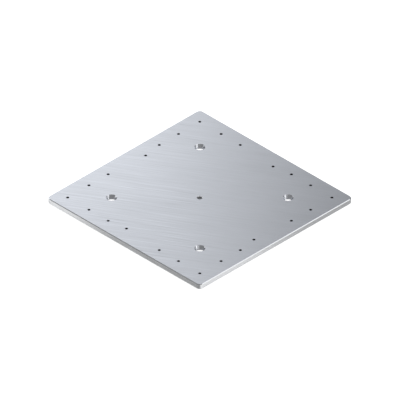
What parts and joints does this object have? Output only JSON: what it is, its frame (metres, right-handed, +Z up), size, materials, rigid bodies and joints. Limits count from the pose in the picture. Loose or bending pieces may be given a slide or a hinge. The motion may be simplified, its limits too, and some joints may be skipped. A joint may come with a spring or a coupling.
{
  "type": "rectangular cover plate",
  "caption": "Flat square cover plate in brushed steel, with rounded corners, broken edges, through bolt holes, a tapped eye hole and rows of tapped screw holes along its edges.",
  "frame": {"origin": "centre of the underside", "axes": "+Z up, from the underside to the top face; X and Y along the plate's edges"},
  "size_m": [0.36, 0.36, 0.01],
  "materials": {
    "brushed_plate": "brushed one way, satin"
  },
  "bodies": {
    "root": {"cover_plate": "brushed_plate"}
  },
  "joints": []
}
